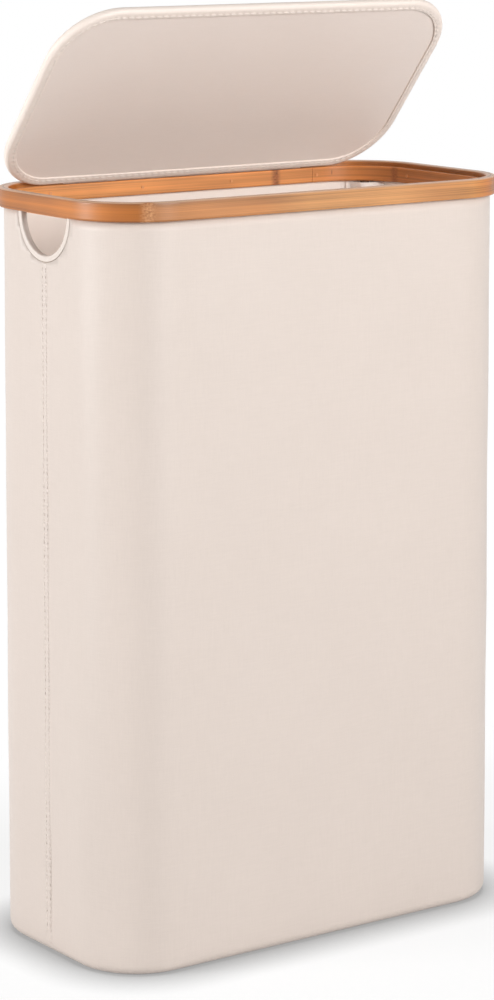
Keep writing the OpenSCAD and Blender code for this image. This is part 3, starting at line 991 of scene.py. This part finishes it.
lid_pad = rounded_plate("lid_pad", 0, LID_HIGH, CORE, LID_RADIUS)
lower(LID_HIGH - LID_LOW)
select(lid_pad, "EDGE", lambda m, d: abs(d.z) < HAIR)
bpy.ops.mesh.bevel(offset=LID_EDGE, segments=6, affect="EDGES", clamp_overlap=False)
select(lid_pad, "FACE", lambda m, n: n.z > 0.999 and m.z > LID_HIGH - HAIR)
fill_in(lid_pad, [3, 4] + [7] * 6, LID_RADIUS - LID_EDGE)
select(lid_pad, "FACE", lambda m, n: n.z < -0.999 and m.z < LID_LOW + HAIR)
bpy.ops.mesh.inset(thickness=LID_BORDER - LID_EDGE - GROOVE_IN)
for step in range(GROOVE_STEPS):
    a, b = (math.pi / 2 * k / GROOVE_STEPS for k in (step, step + 1))
    bpy.ops.mesh.inset(
        thickness=GROOVE_R * (math.sin(b) - math.sin(a)),
        depth=-GROOVE_R * (math.cos(a) - math.cos(b)),
    )
bpy.ops.mesh.inset(thickness=HAIR, depth=-GROOVE_DEPTH)
finish()
crown(lid_pad, LID_HIGH, rise=1.2 * MM, reach=26 * MM, core=CORE, radius=LID_RADIUS)
soften(lid_pad, 0.3 * MM, size=0.07, seed=31, push=lambda p: 1 if p.z > LID_HIGH else 0)
open_out(lid_pad)
lid_pad.data.materials.append(lightened_lid_cloth)
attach(lid_pad, "lid")
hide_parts("lid_cover", "lid_foam")

lid_panel = rounded_plate(
    "lid_panel", LID_BORDER - PANEL_UNDER, LID_LOW + PANEL_UP, CORE, LID_RADIUS
)
fill_in(lid_panel, [3, 2, 3] + [6] * 6, LID_RADIUS - LID_BORDER + PANEL_UNDER)
finish()
soften(lid_panel, 0.5 * MM, size=0.06, seed=41)
thicken(lid_panel, PANEL_T)
open_out(lid_panel)
lid_panel.data.materials.append(lid_panel_cloth)
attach(lid_panel, "lid")
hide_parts("lid_under_panel")

LID_ROWS = {
    "lid_stitches_under": LID_LOW - UNDER_CLOTH,
    "lid_stitches_over": LID_HIGH + OVER_CLOTH,
}
for name, z in LID_ROWS.items():
    ring = stitch_ring(name, STITCH_IN, z, CORE, LID_RADIUS, LID_STITCH)
    open_out(ring)
    ring.data.materials.append(thread)
    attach(ring, "lid")


# ---- Hinge tape ----
# A band of cloth clamped behind the strip. It bends over the gap and is sewn to the lid's
# upper side, so it is the hinge itself.
tape_low, tape_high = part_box("hinge_tape")
TAPE_Y = (tape_low.y + tape_high.y) / 2
TAPE_T, TAPE_LAP, TAPE_FROM_EDGE, TAPE_OVER = 0.8 * MM, 24 * MM, 4 * MM, 0.9 * MM
tape_up = Vector((0, -math.cos(OPEN), math.sin(OPEN)))
tape_off = Vector((0, math.sin(OPEN), math.cos(OPEN)))
lid_rear = to_open @ Vector((0, LID_X - CORE_X + CORE_Y - TAPE_FROM_EDGE, LID_HIGH))
lid_rear = lid_rear + tape_off * TAPE_OVER
TAPE_ROUTE = [
    Vector((0, TAPE_Y, tape_low.z)), Vector((0, TAPE_Y, 652 * MM)), Vector((0, TAPE_Y, 657 * MM)),
    Vector((0, TAPE_Y - 0.3 * MM, 659.5 * MM)), lid_rear, lid_rear + tape_up * 6 * MM,
    lid_rear + tape_up * TAPE_LAP,
]


def tape_place(u, v):
    """A smooth line through the tape's route at v, and u across the tape."""
    reach = v * (len(TAPE_ROUTE) - 1)
    at = min(int(reach), len(TAPE_ROUTE) - 2)
    part = reach - at
    before, start, end, after = (
        TAPE_ROUTE[min(len(TAPE_ROUTE) - 1, max(0, at + k))] for k in (-1, 0, 1, 2)
    )
    point = 0.5 * (
        2 * start + (end - before) * part + (2 * before - 5 * start + 4 * end - after) * part ** 2
        + (3 * start - before - 3 * end + after) * part ** 3
    )
    return Vector((tape_low.x + u * (tape_high.x - tape_low.x), point.y, point.z))


hinge = strip("hinge_tape_cloth", 60, 42, tape_place, TAPE_T)
hinge.data.materials.append(lightened_lid_cloth)
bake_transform(hinge)
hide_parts("hinge_tape", "hinge_tape_lid")


# ---- Size ----
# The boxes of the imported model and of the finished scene, in metres.
low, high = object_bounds()
({
        "cad": [list(cad_box[0]), list(cad_box[1])],
        "scene": [list(low), list(high)],
    })
